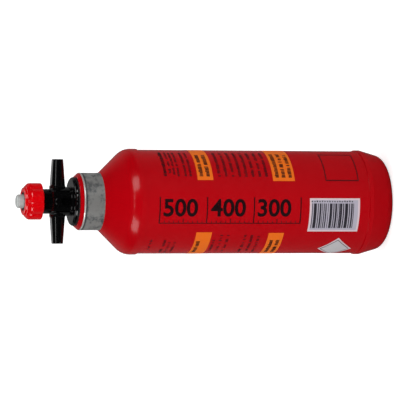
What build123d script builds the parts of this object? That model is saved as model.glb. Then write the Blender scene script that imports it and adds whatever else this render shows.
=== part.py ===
"""Camping fuel bottle: a moulded half-litre bottle with a metal neck band and a screw-in pouring valve.

The bottle stands on z = 0 with its axis on Z. The two spouts of the valve point along +X and -X.
The valve screws out on a right-hand thread. Its stem is pushed down against a spring to pour, and
the red knob turns on the stem. All sizes are in millimetres.
"""

from build123d import *
import math
import os

# Bottle body, from the foot up.
body_r = 33.5
ring_proud = 0.65
wall = 1.6
base_wall = 1.8
base_taper_deg = 15.8
base_fillet = 6.8
foot_land = 2.8
push_up = 3.0
push_up_slope_deg = 45.0
ring_z = 15.5
ring_height = 2.7
shoulder_ring_height = 3.3
shoulder_deg = 44.0
shoulder_fillet = 10.9
neck_base_z = 191.0
neck_height = 15.6
neck_wall = 2.95
lip_inset = 0.25
lip_slant = 1.75
lip_fillet = 0.4

# Metal band round the neck, under the moulded lip.
band_wall = 1.0
band_clear = 0.1
band_height = 13.5
band_bead_height = 1.2
band_bead_fillet = 0.3
band_top_fillet = 0.6
band_groove_width = 0.7
band_groove_depth = 0.35
band_hem_height = 0.9
band_face_inset = 0.1

# Screw thread between the neck and the plug of the valve.
thread_pitch = 4.0
thread_height = 0.9
thread_gap = 0.3
thread_root_share = 0.6
thread_tip_share = 0.3
thread_bury_share = 0.3
thread_mouth = 2.1
neck_thread_turns = 2.25
plug_thread_turns = 2.5

# Plug, flange and hub of the valve body.
plug_depth = 17.6
plug_skirt_wall = 1.8
plug_core_gap = 2.1
tower_wall = 1.3
tower_top_wall = 2.4
gasket_width = 1.95
gasket_thickness = 1.0
gasket_clear = 0.3
flange_overhang = 0.1
flange_thickness = 2.0
flange_fillet = 1.8
flange_notches = 18
flange_notch_r = 1.1
flange_notch_depth = 0.5
hub_wall = 1.1
hub_height = 12.6
hub_flare = 0.8
hub_chamfer_height = 1.0
rib_spacing_deg = 36.0
rib_width = 1.5
pocket_foot = 1.2
side_pocket_depth = 1.0
side_pocket_head = 1.6
front_pocket_depth = 2.2
front_pocket_head = 5.0
front_boss_r = 2.0
front_boss_drop = 2.4
front_boss_proud = 0.3
front_boss_fillet = 0.4
valve_neck_wall = 1.7
valve_neck_height = 11.2

# Chamber, seat and air way inside the valve body.
gland_width = 2.6
gland_ledge = 0.8
seat_thickness = 3.0
seat_ledge = 1.0
air_way_r = 0.9
air_way_wall = 0.9

# Pouring spout towards -X and air spout towards +X.
spout_reach = 27.05
spout_root_r = 4.95
spout_tip_r = 3.7
spout_drop = 4.1
spout_collar = 0.3
spout_collar_length = 0.4
spout_tip_fillet = 0.4
pour_bore_r = 1.8
air_bore_r = 1.3

# Stem, its seal and the pieces that hold it.
stem_travel = 2.2
shaft_r = 3.6
shaft_clear = 0.08
pin_r = 4.4
pin_proud = 4.2
pin_fillet = 1.7
pin_step_gap = 1.0
rod_step = 0.6
tail_r = 2.2
tail_clear = 0.05
tail_proud = 1.0
collar_clear = 0.4
collar_thickness = 1.5
collar_gap = 0.5
seal_disc_inset = 0.5
seal_disc_thickness = 1.8
seal_washer_inset = 1.5
seal_washer_thickness = 1.0
lock_nut_wall = 1.3
lock_nut_sides = 6
lock_nut_thickness = 2.8
lock_nut_chamfer = 0.4
gland_bush_height = 4.0
gland_nut_height = 2.5
gland_clear = 0.05
spring_wire_r = 0.4
spring_clear = 0.7
spring_turns = 9
spring_end_gap = 0.05
spring_washer_bore_clear = 0.7
spring_washer_thickness = 0.8
spring_washer_clear = 0.1

# Knob on top of the stem.
knob_wall = 3.8
knob_height = 11.8
knob_gap = 5.8
knob_foot_fillet = 1.1
knob_crown_height = 3.7
knob_crown_fillet = 2.4
knob_step = 0.8
knob_collar_height = 1.5
knob_collar_slant = 0.4
knob_rim = 2.7
knob_rim_fillet = 0.8
knob_flutes = 8
knob_flute_r = 4.5
knob_flute_depth = 0.8
knob_cup_clear = 0.3
knob_top_wall = 3.0
knob_boss_wall = 1.55
knob_boss_gap = 0.4
knob_bore_clear = 0.05
knob_recess_width = 1.6
knob_recess_depth = 0.9
knob_seal_thickness = 0.7
knob_seal_clear = 0.1

# Paper labels on the body, placed by height and by angle from the front, positive towards +X.
label_thickness = 0.12
label_lift = 0.1
striped_label_z = 25.2
striped_label_height = 34.0
striped_label_from_deg = -34.2
striped_label_to_deg = 4.2
diamond_label_z = 36.5
diamond_label_deg = -63.3
diamond_label_half = 11.4

# Every cut runs this far past the face that it opens.
overrun = 1.0

# Radii and heights that follow from the sizes above.
ring_r = body_r + ring_proud
inner_r = body_r - wall
taper = math.radians(base_taper_deg)
slope = math.radians(shoulder_deg)
base_corner_r = ring_r - ring_z * math.tan(taper)
foot_r = base_corner_r - base_fillet / math.tan((math.pi / 2 + taper) / 2)
push_up_r = foot_r - foot_land
push_up_top_r = push_up_r - push_up / math.tan(math.radians(push_up_slope_deg))

rod_r = shaft_r - rod_step
valve_neck_bore_r = shaft_r + gland_width
valve_neck_r = valve_neck_bore_r + valve_neck_wall
chamber_r = valve_neck_bore_r - gland_ledge
collar_r = chamber_r - collar_clear
seat_bore_r = chamber_r - seat_ledge
spring_r = chamber_r - spring_clear - spring_wire_r
spring_washer_inner_r = rod_r + spring_washer_bore_clear
air_way_x = chamber_r + air_way_wall + air_way_r
tower_r = air_way_x + air_way_r + tower_wall
hub_r = air_way_x + air_way_r + hub_wall
plug_r = tower_r + plug_core_gap + plug_skirt_wall
gasket_r = plug_r + gasket_clear + gasket_width
flange_r = gasket_r + flange_overhang
seal_disc_r = tower_r - seal_disc_inset
seal_washer_r = seal_disc_r - seal_washer_inset
lock_nut_flats = 2 * (tail_r + lock_nut_wall)
knob_cup_r = valve_neck_r + knob_cup_clear
knob_r = knob_cup_r + knob_wall
knob_bore_r = pin_r + knob_bore_clear
knob_boss_r = knob_bore_r + knob_boss_wall
knob_recess_r = knob_bore_r + knob_recess_width
knob_collar_r = knob_recess_r + knob_rim
knob_shoulder_r = knob_collar_r + knob_collar_slant + knob_step

neck_bore_r = plug_r + thread_height + thread_gap
neck_r = neck_bore_r + neck_wall
band_inner_r = neck_r + band_clear
band_r = band_inner_r + band_wall
lip_r = band_r - lip_inset
band_base_z = neck_base_z
lip_base_z = band_base_z + band_height + band_clear
neck_top_z = neck_base_z + neck_height
shoulder_corner_z = neck_base_z - (ring_r - band_r) / math.tan(slope)
shoulder_z = shoulder_corner_z - shoulder_fillet * math.tan(slope / 2) - shoulder_ring_height
inner_cone_r = ring_r - wall / math.cos(slope)

flange_z = neck_top_z + gasket_thickness
flange_top_z = flange_z + flange_thickness
hub_top_z = flange_top_z + hub_height
valve_shoulder_z = hub_top_z + hub_chamfer_height
valve_top_z = valve_shoulder_z + valve_neck_height
plug_z = neck_top_z - plug_depth
ledge_z = plug_z + seat_thickness
spout_z = hub_top_z - spout_drop
front_boss_z = hub_top_z - front_boss_drop
neck_thread_z = neck_top_z - thread_mouth - neck_thread_turns * thread_pitch
plug_thread_z = neck_thread_z - thread_pitch / 2

gland_nut_z = valve_shoulder_z + gland_bush_height + (valve_neck_bore_r - shaft_r)
gland_top_z = gland_nut_z + gland_nut_height
collar_top_z = valve_shoulder_z - collar_gap
collar_z = collar_top_z - collar_thickness
pin_step_z = gland_top_z + stem_travel + pin_step_gap
seal_disc_z = plug_z - seal_disc_thickness
seal_washer_z = seal_disc_z - seal_washer_thickness
lock_nut_z = seal_washer_z - lock_nut_thickness
tail_z = lock_nut_z - tail_proud
spring_z = ledge_z + spring_washer_thickness

knob_z = valve_shoulder_z + knob_gap
knob_top_z = knob_z + knob_height
knob_recess_z = knob_top_z - knob_recess_depth
knob_collar_z = knob_top_z - knob_collar_height
knob_ceiling_z = knob_top_z - knob_top_wall
knob_boss_z = valve_top_z + stem_travel + knob_boss_gap
pin_top_z = knob_top_z + pin_proud


def turned(corners):
    """Solid of revolution about Z from (radius, height) corners, with an optional fillet as a third value."""
    face = make_face(Polyline(*[(corner[0], corner[1]) for corner in corners], close=True))
    for radius, height, bend in [corner for corner in corners if len(corner) > 2]:
        vertex = face.vertices().sort_by_distance(Vector(radius, height))[0]
        face = fillet(vertex, bend)
    return revolve(Plane.XZ * face, Axis.Z)


def ring(outer, inner, low, high):
    """Plain ring or washer about Z."""
    return turned([(inner, low), (outer, low), (outer, high), (inner, high)])


def post(radius, low, high):
    """Plain round post about Z."""
    return turned([(0, low), (radius, low), (radius, high), (0, high)])


def thread_ridge(root_r, crest_r, low, turns):
    """Right-hand trapezoid ridge, buried a little in the wall that it grows from."""
    root_half = thread_pitch * thread_root_share / 2
    tip_half = thread_pitch * thread_tip_share / 2
    buried_r = root_r - (crest_r - root_r) * thread_bury_share
    path = Helix(pitch=thread_pitch, height=thread_pitch * turns, radius=root_r, center=(0, 0, low))
    outline = [
        (buried_r, 0, low - root_half),
        (buried_r, 0, low + root_half),
        (crest_r, 0, low + tip_half),
        (crest_r, 0, low - tip_half),
    ]
    return sweep(make_face(Polyline(*outline, close=True)), path=path, is_frenet=True)


def bottle_shell():
    """Blow-moulded body: dished foot, two ring steps, sloping shoulder and threaded neck."""
    inner_base_r = base_corner_r + base_wall * math.tan(taper) - wall / math.cos(taper)
    inner_taper_z = (inner_r - base_corner_r + wall / math.cos(taper)) / math.tan(taper)
    inner_shoulder_z = shoulder_corner_z + (inner_cone_r - inner_r) / math.tan(slope)
    inner_neck_z = shoulder_corner_z + (inner_cone_r - neck_bore_r) / math.tan(slope)
    shell = turned(
        [
            (0, push_up),
            (push_up_top_r, push_up),
            (push_up_r, 0),
            (base_corner_r, 0, base_fillet),
            (ring_r, ring_z),
            (ring_r, ring_z + ring_height),
            (body_r, ring_z + ring_height),
            (body_r, shoulder_z),
            (ring_r, shoulder_z),
            (ring_r, shoulder_corner_z, shoulder_fillet),
            (band_r, neck_base_z),
            (neck_r, neck_base_z),
            (neck_r, lip_base_z),
            (lip_r, lip_base_z),
            (lip_r - lip_slant, neck_top_z, lip_fillet),
            (neck_bore_r, neck_top_z),
            (neck_bore_r, inner_neck_z),
            (inner_r, inner_shoulder_z, shoulder_fillet - wall),
            (inner_r, inner_taper_z),
            (inner_base_r, base_wall, base_fillet - wall),
            (push_up_r, base_wall),
            (push_up_top_r, push_up + base_wall),
            (0, push_up + base_wall),
        ]
    )
    return shell + thread_ridge(neck_bore_r, neck_bore_r - thread_height, neck_thread_z, neck_thread_turns)


def neck_band():
    """Rolled metal band with a round bead above a fine groove and a narrow hem at its lower edge."""
    top_z = band_base_z + band_height
    bead_z = top_z - band_bead_height
    groove_z = bead_z - band_groove_width
    hem_z = band_base_z + band_hem_height
    groove_r = band_r - band_groove_depth
    face_r = band_r - band_face_inset
    return turned(
        [
            (band_inner_r, band_base_z),
            (band_r, band_base_z),
            (band_r, hem_z),
            (face_r, hem_z),
            (face_r, groove_z),
            (groove_r, groove_z),
            (groove_r, bead_z),
            (band_r, bead_z, band_bead_fillet),
            (band_r, top_z, band_top_fillet),
            (band_inner_r, top_z),
        ]
    )


def neck_gasket():
    """Flat rubber ring between the lip of the neck and the flange of the valve."""
    return ring(gasket_r, plug_r + gasket_clear, neck_top_z, flange_z)


def spout(direction, bore_r, bore_start):
    """Tapered spout along X and the bore that is cut from it, as a pair of solids."""
    collar_end = hub_r + spout_collar_length
    outline = [
        (0, 0),
        (spout_root_r + spout_collar, 0),
        (spout_root_r + spout_collar, collar_end),
        (spout_root_r, collar_end + spout_collar),
        (spout_tip_r, spout_reach),
        (0, spout_reach),
    ]
    face = make_face(Polyline(*outline, close=True))
    tip = face.vertices().sort_by_distance(Vector(spout_tip_r, spout_reach))[0]
    cone = revolve(Plane.XZ * fillet(tip, spout_tip_fillet), Axis.Z)
    hole = post(bore_r, bore_start, spout_reach + overrun)
    place = Pos(0, 0, spout_z) * Rot(0, direction, 0)
    return place * cone, place * hole


def hub_pocket(angle, depth, head):
    """Round-cornered recess between two ribs of the hub, at an angle from the front or back."""
    rib_angle = math.degrees(rib_width / 2 / hub_r)
    width = 2 * hub_r * math.sin(math.radians(rib_spacing_deg / 2 - rib_angle))
    low = flange_top_z + pocket_foot
    high = hub_top_z - head
    plane = Plane(origin=(0, depth - hub_r, (low + high) / 2), x_dir=(0, 0, 1), z_dir=(0, -1, 0))
    opening = plane * RectangleRounded(high - low, width, rib_width / 2)
    return Rot(0, 0, angle) * extrude(opening, amount=depth + overrun)


def hub_boss(angle):
    """Small round boss above the middle pocket, at the front or back of the hub."""
    boss = fillet(
        post(front_boss_r, 0, hub_r + front_boss_proud).edges().sort_by(Axis.Z)[-1],
        front_boss_fillet,
    )
    return Rot(0, 0, angle) * Pos(0, 0, front_boss_z) * Rot(90, 0, 0) * boss


def valve_body():
    """Threaded plug, grip flange, ribbed hub and both spouts, moulded in one piece."""
    body = turned(
        [
            (0, plug_z),
            (plug_r, plug_z),
            (plug_r, flange_z),
            (flange_r, flange_z),
            (flange_r, flange_top_z, flange_fillet),
            (hub_r + hub_flare, flange_top_z),
            (hub_r, flange_top_z + hub_flare),
            (hub_r, hub_top_z),
            (valve_neck_r, valve_shoulder_z),
            (valve_neck_r, valve_top_z),
            (0, valve_top_z),
        ]
    )
    notch_reach = flange_r - flange_notch_depth + flange_notch_r
    notch = Pos(notch_reach, 0, 0) * post(flange_notch_r, flange_z - overrun, flange_top_z + overrun)
    body -= [Rot(0, 0, 360 * (step + 0.5) / flange_notches) * notch for step in range(flange_notches)]
    for side in (0, 180):
        body -= hub_pocket(side, front_pocket_depth, front_pocket_head)
        body -= hub_pocket(side - rib_spacing_deg, side_pocket_depth, side_pocket_head)
        body -= hub_pocket(side + rib_spacing_deg, side_pocket_depth, side_pocket_head)
        body += hub_boss(side)
    air_cone, air_bore = spout(90, air_bore_r, air_way_x)
    pour_cone, pour_bore = spout(-90, pour_bore_r, 0)
    body += [air_cone, pour_cone]
    body -= ring(plug_r - plug_skirt_wall, tower_r, plug_z - overrun, flange_z - tower_top_wall)
    body -= post(seat_bore_r, plug_z - overrun, ledge_z + overrun)
    body -= post(chamber_r, ledge_z, valve_shoulder_z + overrun)
    body -= post(valve_neck_bore_r, valve_shoulder_z, valve_top_z + overrun)
    body -= Pos(air_way_x, 0, 0) * post(air_way_r, plug_z - overrun, spout_z)
    body -= [air_bore, pour_bore]
    return body + thread_ridge(plug_r, plug_r + thread_height, plug_thread_z, plug_thread_turns)


def gland_bush():
    """Guide bush for the stem at the foot of the valve's neck."""
    return ring(
        valve_neck_bore_r - gland_clear,
        shaft_r + shaft_clear,
        valve_shoulder_z,
        valve_shoulder_z + gland_bush_height,
    )


def stem_o_ring():
    """Rubber ring that seals the stem, lying between the bush and the gland nut."""
    half_gap = (valve_neck_bore_r - shaft_r) / 2
    middle = Pos(0, 0, gland_nut_z - half_gap)
    return middle * Torus(shaft_r + half_gap, half_gap - gland_clear)


def gland_nut():
    """Ring pressed into the valve's neck over the rubber ring."""
    return ring(valve_neck_bore_r - gland_clear, shaft_r + shaft_clear, gland_nut_z, gland_top_z)


def spring_washer():
    """Steel washer under the return spring."""
    return ring(chamber_r - spring_washer_clear, spring_washer_inner_r, ledge_z, spring_z)


def return_spring():
    """Open coil between the washer and the stem's collar."""
    low = spring_z + spring_wire_r + spring_end_gap
    high = collar_z - spring_wire_r - spring_end_gap
    path = Helix(pitch=(high - low) / spring_turns, height=high - low, radius=spring_r, center=(0, 0, low))
    section = Plane(origin=path @ 0, z_dir=path % 0) * Circle(spring_wire_r)
    return sweep(section, path=path, is_frenet=True)


def stem():
    """Turned stem: round button on top, gland shaft, spring collar, rod and threaded tail."""
    return turned(
        [
            (0, tail_z),
            (tail_r, tail_z),
            (tail_r, plug_z),
            (rod_r, plug_z),
            (rod_r, collar_z),
            (collar_r, collar_z),
            (collar_r, collar_top_z),
            (shaft_r, collar_top_z),
            (shaft_r, pin_step_z),
            (pin_r, pin_step_z),
            (pin_r, pin_top_z, pin_fillet),
            (0, pin_top_z),
        ]
    )


def seal_disc():
    """Rubber disc that closes the pouring seat and the air way together."""
    return ring(seal_disc_r, tail_r + tail_clear, seal_disc_z, plug_z)


def seal_washer():
    """Steel washer that backs the rubber disc."""
    return ring(seal_washer_r, tail_r + tail_clear, seal_washer_z, seal_disc_z)


def lock_nut():
    """Hexagon nut on the stem's tail."""
    hexagon = RegularPolygon(lock_nut_flats / 2, lock_nut_sides, major_radius=False)
    blank = Pos(0, 0, lock_nut_z) * extrude(hexagon, amount=lock_nut_thickness)
    corner_r = lock_nut_flats / 2 / math.cos(math.pi / lock_nut_sides)
    rounded = turned(
        [
            (0, lock_nut_z),
            (corner_r - lock_nut_chamfer, lock_nut_z),
            (corner_r, lock_nut_z + lock_nut_chamfer),
            (corner_r, seal_washer_z),
            (0, seal_washer_z),
        ]
    )
    return (blank & rounded) - post(tail_r + tail_clear, lock_nut_z - overrun, seal_washer_z + overrun)


def knob_seal():
    """Dark felt ring round the stem in the recess of the knob's top."""
    return ring(
        knob_recess_r - knob_seal_clear,
        pin_r + knob_seal_clear,
        knob_recess_z,
        knob_recess_z + knob_seal_thickness,
    )


def knob():
    """Fluted cup that covers the valve's neck and turns on the stem."""
    body = turned(
        [
            (knob_cup_r, knob_z),
            (knob_r, knob_z, knob_foot_fillet),
            (knob_r, knob_top_z - knob_crown_height, knob_crown_fillet),
            (knob_shoulder_r, knob_collar_z),
            (knob_collar_r + knob_collar_slant, knob_collar_z),
            (knob_collar_r, knob_top_z, knob_rim_fillet),
            (knob_recess_r, knob_top_z),
            (knob_recess_r, knob_recess_z),
            (knob_bore_r, knob_recess_z),
            (knob_bore_r, knob_boss_z),
            (knob_boss_r, knob_boss_z),
            (knob_boss_r, knob_ceiling_z),
            (knob_cup_r, knob_ceiling_z),
        ]
    )
    reach = knob_r - knob_flute_depth + knob_flute_r
    flute = Pos(0, -reach, 0) * post(knob_flute_r, knob_z - overrun, knob_top_z + overrun)
    return body - [Rot(0, 0, 360 * step / knob_flutes) * flute for step in range(knob_flutes)]


def striped_label():
    """Oblong paper label that follows the round of the body."""
    low_r = body_r + label_lift
    outline = [
        (low_r, striped_label_z),
        (low_r + label_thickness, striped_label_z),
        (low_r + label_thickness, striped_label_z + striped_label_height),
        (low_r, striped_label_z + striped_label_height),
    ]
    face = Plane.XZ * make_face(Polyline(*outline, close=True))
    span = striped_label_to_deg - striped_label_from_deg
    return Rot(0, 0, striped_label_from_deg - 90) * revolve(face, Axis.Z, revolution_arc=span)


def diamond_label():
    """Blank diamond-shaped paper label, curved with the body."""
    half = diamond_label_half
    low_r = body_r + label_lift
    sleeve = ring(
        low_r + label_thickness,
        low_r,
        diamond_label_z - half - overrun,
        diamond_label_z + half + overrun,
    )
    plane = Plane(origin=(0, 0, diamond_label_z), x_dir=(1, 0, 0), z_dir=(0, -1, 0))
    outline = plane * make_face(Polyline((0, -half), (half, 0), (0, half), (-half, 0), close=True))
    prism = extrude(outline, amount=ring_r + overrun)
    return Rot(0, 0, diamond_label_deg) * (sleeve & prism)


pieces = [
    bottle_shell,
    neck_band,
    striped_label,
    diamond_label,
    neck_gasket,
    valve_body,
    gland_bush,
    stem_o_ring,
    gland_nut,
    spring_washer,
    return_spring,
    stem,
    seal_disc,
    seal_washer,
    lock_nut,
    knob_seal,
    knob,
]
os.makedirs("parts", exist_ok=True)
for piece in pieces:
    export_step(piece(), "parts/" + piece.__name__ + ".step")
    print("wrote", piece.__name__)
print("height", round(pin_top_z, 3), "neck top", round(neck_top_z, 3), "spout height", round(spout_z, 3))
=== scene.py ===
# %% [markdown]
# # A camping fuel bottle, dressed for a studio picture
# The real object is a red blow-moulded bottle with a metal neck band. A black pouring valve screws into
# it, with two side spouts, a pale press stem and a fluted red knob. The construction model already gives
# every piece its place and size, so this lesson adds finishes, printed marks, a softer knob and light.

# %% Load the construction model
import math

import bmesh
import bpy
from mathutils import Matrix, Vector


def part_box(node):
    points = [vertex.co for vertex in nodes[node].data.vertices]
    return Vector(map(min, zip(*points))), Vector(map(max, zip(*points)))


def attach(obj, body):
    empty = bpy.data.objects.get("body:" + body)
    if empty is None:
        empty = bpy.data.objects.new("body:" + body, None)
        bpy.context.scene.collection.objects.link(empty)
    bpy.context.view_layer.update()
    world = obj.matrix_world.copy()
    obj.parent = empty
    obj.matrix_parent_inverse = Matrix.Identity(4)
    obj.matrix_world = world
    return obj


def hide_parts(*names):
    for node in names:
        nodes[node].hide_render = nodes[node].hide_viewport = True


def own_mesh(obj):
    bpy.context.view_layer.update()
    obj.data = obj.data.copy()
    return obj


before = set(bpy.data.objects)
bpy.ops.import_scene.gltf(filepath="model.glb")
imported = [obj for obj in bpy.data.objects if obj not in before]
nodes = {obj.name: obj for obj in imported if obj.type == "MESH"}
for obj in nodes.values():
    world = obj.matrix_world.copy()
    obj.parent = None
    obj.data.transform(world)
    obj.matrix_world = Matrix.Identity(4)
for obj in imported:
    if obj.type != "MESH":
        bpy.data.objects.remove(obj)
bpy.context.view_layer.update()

MM = 0.001

# %% [markdown]
# ## Measuring from the model
# Marks printed on the bottle have to lie on its wall, so the sizes that they need are read from the
# model's own pieces. Only the body's radius is typed, because the bottle's box also holds its raised
# rings. A place on the wall is written as an angle from the front, a height and a lift off the surface.

# %% Sizes read from the pieces
knob_low, knob_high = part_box("knob")
label_low, label_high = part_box("striped_label")
diamond_low, diamond_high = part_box("diamond_label")
BODY_R = 33.5
INK_DEPTH = 0.03
INK_LIFT = 0.03
LABEL_INK_GAP = 0.02
LABEL_TOP = -label_low[1] / MM - BODY_R
LABEL_INK_LIFT = LABEL_TOP + LABEL_INK_GAP
KNOB_HEIGHT = (knob_high[2] - knob_low[2]) / MM
print("label top", round(LABEL_TOP, 3), "mm off the wall; knob", round(KNOB_HEIGHT, 2), "mm tall")


def on_wall(angle, height, lift):
    """A point on the body in metres: angle in degrees from the front towards +X, height and lift in mm."""
    turn = math.radians(angle)
    radius = (BODY_R + lift) * MM
    return Vector((radius * math.sin(turn), -radius * math.cos(turn), height * MM))


def new_mesh_object(name, mesh):
    """Links a mesh to the scene as an object at the origin."""
    piece = bpy.data.objects.new(name, mesh)
    bpy.context.scene.collection.objects.link(piece)
    return piece


# %% [markdown]
# ## Camera
# The photograph shows the bottle lying across the picture, but the ellipses of its rims tell that it was
# shot standing up, from about sixteen degrees above, and turned on its side afterwards. So the camera is
# rolled a quarter turn: the bottle's +X points up in the picture and its foot is on the right. The turn is
# a hair more than a quarter, because the bottle's axis drops a little towards the foot.

# %% A long lens, rolled a quarter turn
TILT = math.radians(16.04)
EXTRA_ROLL = 0.0026
LENS_PIXELS = 2981.0
FRAME_PIXELS = 407.0
SENSOR_WIDTH = 36.0
NEAREST, FARTHEST = 0.05, 60.0
CAMERA_PLACE = Vector((-0.00108, -1.858, 0.655))
camera_data = bpy.data.cameras.new("camera")
camera_data.sensor_width = SENSOR_WIDTH
camera_data.lens = SENSOR_WIDTH * LENS_PIXELS / FRAME_PIXELS
camera_data.clip_start = NEAREST
camera_data.clip_end = FARTHEST
camera = bpy.data.objects.new("camera", camera_data)
bpy.context.scene.collection.objects.link(camera)
towards_foot = Vector((0.0, -math.sin(TILT), -math.cos(TILT)))
across = Vector((1.0, 0.0, 0.0))
right = (towards_foot + EXTRA_ROLL * across).normalized()
up = (across - EXTRA_ROLL * towards_foot).normalized()
back = right.cross(up)
turn = Matrix((right, up, back)).transposed()
camera.matrix_world = Matrix.Translation(CAMERA_PLACE) @ turn.to_4x4()
bpy.context.scene.camera = camera
print("lens", round(camera_data.lens, 1), "mm, looking along", [round(-value, 3) for value in back])

# %% [markdown]
# ## Floor and light
# The picture is a bright studio shot with no visible shadow edge. Two tall soft boxes stand in front, to
# the left and right, and leave bright patches on the shoulder. Two small weak strips above the camera
# draw the line along each spout, and a wide panel above and behind the bottle keeps the floor even.

# %% Soft boxes, strips and the panel
WHITE = (1.0, 1.0, 1.0, 1.0)


def soft_box(name, place, aim, width, height, power):
    """A rectangular area light that faces its aim; places and sizes in metres, power in watts."""
    light = bpy.data.lights.new(name, "AREA")
    light.shape = "RECTANGLE"
    light.size = width
    light.size_y = height
    light.energy = power
    lamp = bpy.data.objects.new(name, light)
    bpy.context.scene.collection.objects.link(lamp)
    lamp.location = place
    lamp.rotation_euler = (Vector(aim) - Vector(place)).to_track_quat("-Z", "Y").to_euler()


for lamp_values in (
    ("box_right", (1.25, -1.40, 1.0), (0.0, 0.0, 0.25), 1.0, 1.5, 22.3),
    ("box_left", (-1.55, -1.06, 1.0), (0.0, 0.0, 0.25), 1.0, 1.5, 23.3),
    ("strip_right", (0.26, -1.30, 1.35), (0.0, 0.0, 0.2), 0.3, 0.2, 0.6),
    ("strip_left", (-0.26, -1.30, 1.35), (0.0, 0.0, 0.2), 0.3, 0.2, 0.6),
    ("panel_above", (0.0, 1.9, 2.4), (0.0, 1.0, 0.0), 3.4, 2.4, 58.0),
):
    soft_box(*lamp_values)
bpy.context.scene.view_settings.view_transform = "Standard"
print("lights:", [light.name for light in bpy.data.lights])

# %% [markdown]
# The world adds only a weak fill, because a bright world would turn the black plastic grey. Mirrored rays
# see it dark in front and brighter behind, which leaves the middle of each face deep and its edges pale.
# Shaders are wired by one small helper, which every later step uses as well.


# %% A helper that wires nodes, and the world
def add_node(tree, kind, **settings):
    """Adds a node. A setting is a property, or an input by name: a socket is linked, a value is set."""
    node = tree.nodes.new(kind)
    for key, value in settings.items():
        label = key.replace("_", " ")
        if hasattr(node, key):
            setattr(node, key, value)
        elif isinstance(value, bpy.types.NodeSocket):
            tree.links.new(value, node.inputs[label])
        else:
            node.inputs[label].default_value = value
    return node


def brighter_behind(tree, coordinate, starts, ends, dark, bright):
    """A value that rises from dark to bright along +Y, away from the camera."""
    place = add_node(tree, "ShaderNodeTexCoord")
    parts = add_node(tree, "ShaderNodeSeparateXYZ", Vector=place.outputs[coordinate])
    ramp = add_node(tree, "ShaderNodeMapRange", interpolation_type="SMOOTHSTEP", Value=parts.outputs["Y"],
                    From_Min=starts, From_Max=ends, To_Min=dark, To_Max=bright)
    return ramp.outputs["Result"]


WORLD_FILL = 0.06
WORLD_DARK, WORLD_BRIGHT = 0.02, 0.20
WORLD_RISE = (0.2, 0.95)
world = bpy.data.worlds.new("studio")
world.use_nodes = True
world_tree = world.node_tree
sky = world_tree.nodes["Background"]
sky.inputs["Color"].default_value = WHITE
world_ray = add_node(world_tree, "ShaderNodeLightPath")
mirrored = brighter_behind(world_tree, "Generated", *WORLD_RISE, WORLD_DARK, WORLD_BRIGHT)
world_mix = add_node(world_tree, "ShaderNodeMix", Factor=world_ray.outputs["Is Glossy Ray"], A=WORLD_FILL,
                     B=mirrored)
world_tree.links.new(world_mix.outputs["Result"], sky.inputs["Strength"])
bpy.context.scene.world = world
print("world fill", WORLD_FILL, "and", WORLD_DARK, "to", WORLD_BRIGHT, "in mirrors")

# %% [markdown]
# A white floor would mirror as a grey veil in every glossy face. Studios lay a darker card just outside
# the picture to keep reflections deep. Here the floor's shader does the same: rays that bounced off a
# glossy face see a card that is dark in front and grey behind, and all other rays see the pale floor. The
# floor also glows a little for the camera alone, which keeps it white while a soft shade stays at the
# bottle's foot.

# %% A pale floor with a dark card for reflections
FLOOR_HALF = 8.0
FLOOR_GREY = 0.66
FLOOR_ROUGHNESS = 0.9
FLOOR_GLOSS = 0.1
FLOOR_GLOW = 0.70
CARD_RISE = (-0.45, 0.45)
CARD_DARK, CARD_BRIGHT = 0.0, 0.20
floor_mesh = bpy.data.meshes.new("floor")
floor_corners = [(x * FLOOR_HALF, y * FLOOR_HALF, 0) for x, y in ((-1, -1), (1, -1), (1, 1), (-1, 1))]
floor_mesh.from_pydata(floor_corners, [], [(0, 1, 2, 3)])
floor = new_mesh_object("floor", floor_mesh)
floor_paint = bpy.data.materials.new("pale_floor")
floor_paint.use_nodes = True
floor_tree = floor_paint.node_tree
ray = add_node(floor_tree, "ShaderNodeLightPath")
glow = add_node(floor_tree, "ShaderNodeMath", operation="MULTIPLY")
glow.inputs[1].default_value = FLOOR_GLOW
floor_tree.links.new(ray.outputs["Is Camera Ray"], glow.inputs[0])
floor_shader = floor_tree.nodes["Principled BSDF"]
floor_shader.inputs["Base Color"].default_value = (FLOOR_GREY, FLOOR_GREY, FLOOR_GREY, 1.0)
floor_shader.inputs["Roughness"].default_value = FLOOR_ROUGHNESS
floor_shader.inputs["Specular IOR Level"].default_value = FLOOR_GLOSS
floor_shader.inputs["Emission Color"].default_value = WHITE
floor_tree.links.new(glow.outputs[0], floor_shader.inputs["Emission Strength"])
card_shade = brighter_behind(floor_tree, "Object", *CARD_RISE, CARD_DARK, CARD_BRIGHT)
card = add_node(floor_tree, "ShaderNodeBsdfDiffuse", Color=card_shade)
choice = add_node(floor_tree, "ShaderNodeMixShader", Fac=ray.outputs["Is Glossy Ray"])
floor_tree.links.new(floor_shader.outputs["BSDF"], choice.inputs[1])
floor_tree.links.new(card.outputs["BSDF"], choice.inputs[2])
floor_tree.links.new(choice.outputs["Shader"], floor_tree.nodes["Material Output"].inputs["Surface"])
floor_mesh.materials.append(floor_paint)
print("floor", round(2 * FLOOR_HALF), "m wide")

# %% [markdown]
# ## Shared surface effects
# Moulded plastic is never one flat colour: it has a faint grain, and handling leaves it duller in patches.
# Several finishes need that, so it is built once as a shader node group. A second group gives scuffed
# metal its smudges and fine turning lines, and paints a line of shade and a line of highlight at given
# heights. Groups put out only colours, masks and normals; each material keeps its own shader.

# %% Helpers for groups and sums
FLOAT, COLOUR, NORMAL = "NodeSocketFloat", "NodeSocketColor", "NodeSocketVector"


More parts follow.
